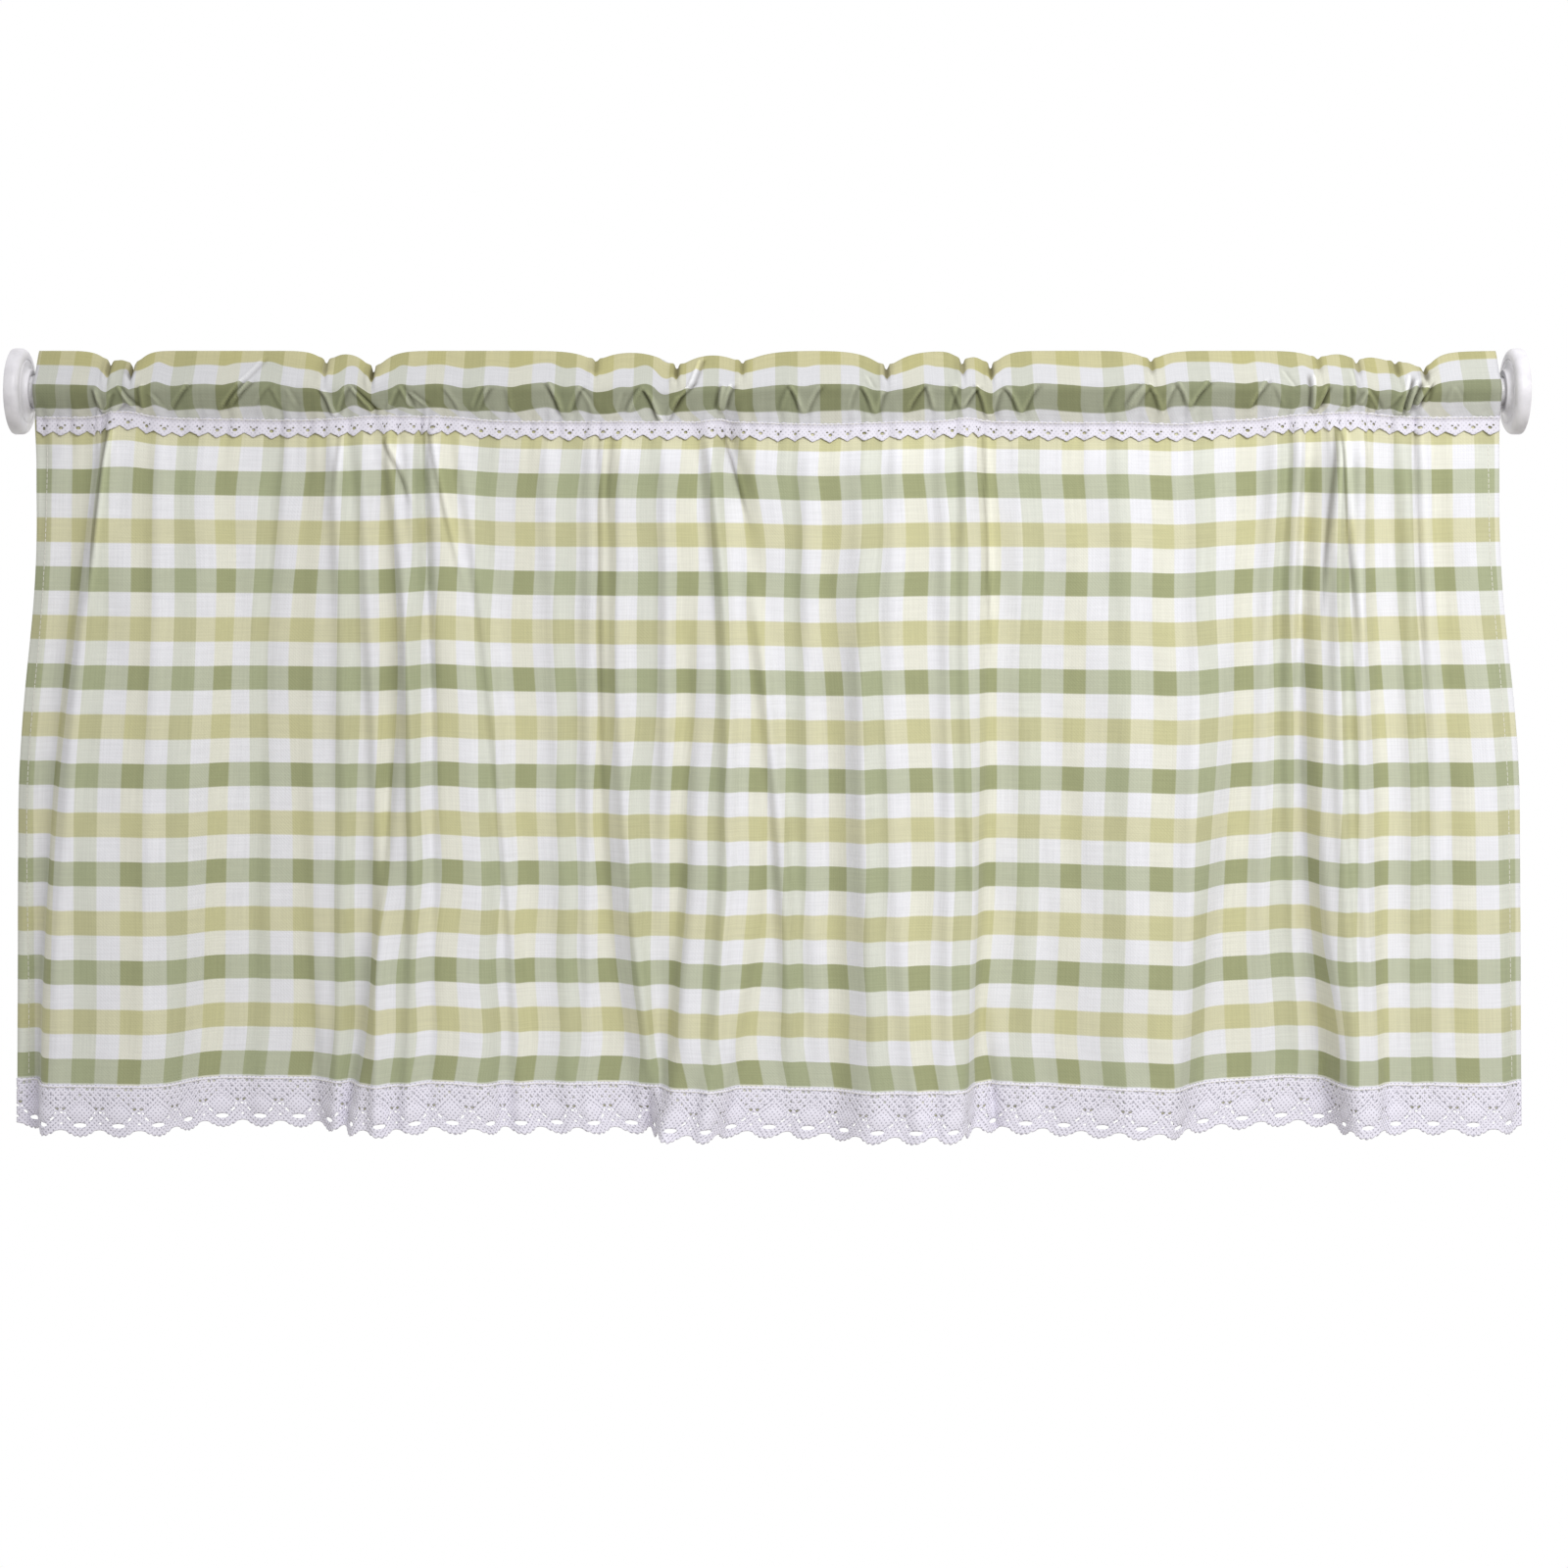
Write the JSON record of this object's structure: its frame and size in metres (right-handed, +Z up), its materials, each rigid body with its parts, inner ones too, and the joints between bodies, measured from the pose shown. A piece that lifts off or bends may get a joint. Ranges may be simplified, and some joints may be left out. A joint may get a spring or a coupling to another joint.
{
  "type": "window valance",
  "caption": "Short checked cotton curtain gathered on a tension rod, with a lace strip along the rod pocket and a wider lace edging on the hem.",
  "frame": {"origin": "centre of the left end pad's outer face, on the rod's axis", "axes": "+X along the rod to the right as seen from the room, +Z up, and -Y towards the room"},
  "size_m": [1.173, 0.0762, 0.615],
  "materials": {
    "checked_cotton": "light plain-weave cotton, woven in a soft green, pale yellow and white check",
    "cotton_lace": "white cotton lace with cut-through holes, matt",
    "rod_enamel": "white baked enamel on thin steel tube, satin",
    "pad_plastic": "white moulded plastic, slightly satin"
  },
  "bodies": {
    "root": {"valance_panel": "checked_cotton", "heading_lace": "cotton_lace", "hem_lace": "cotton_lace", "tension_rod": "rod_enamel", "end_pad_left": "pad_plastic", "end_pad_right": "pad_plastic"}
  },
  "joints": []
}
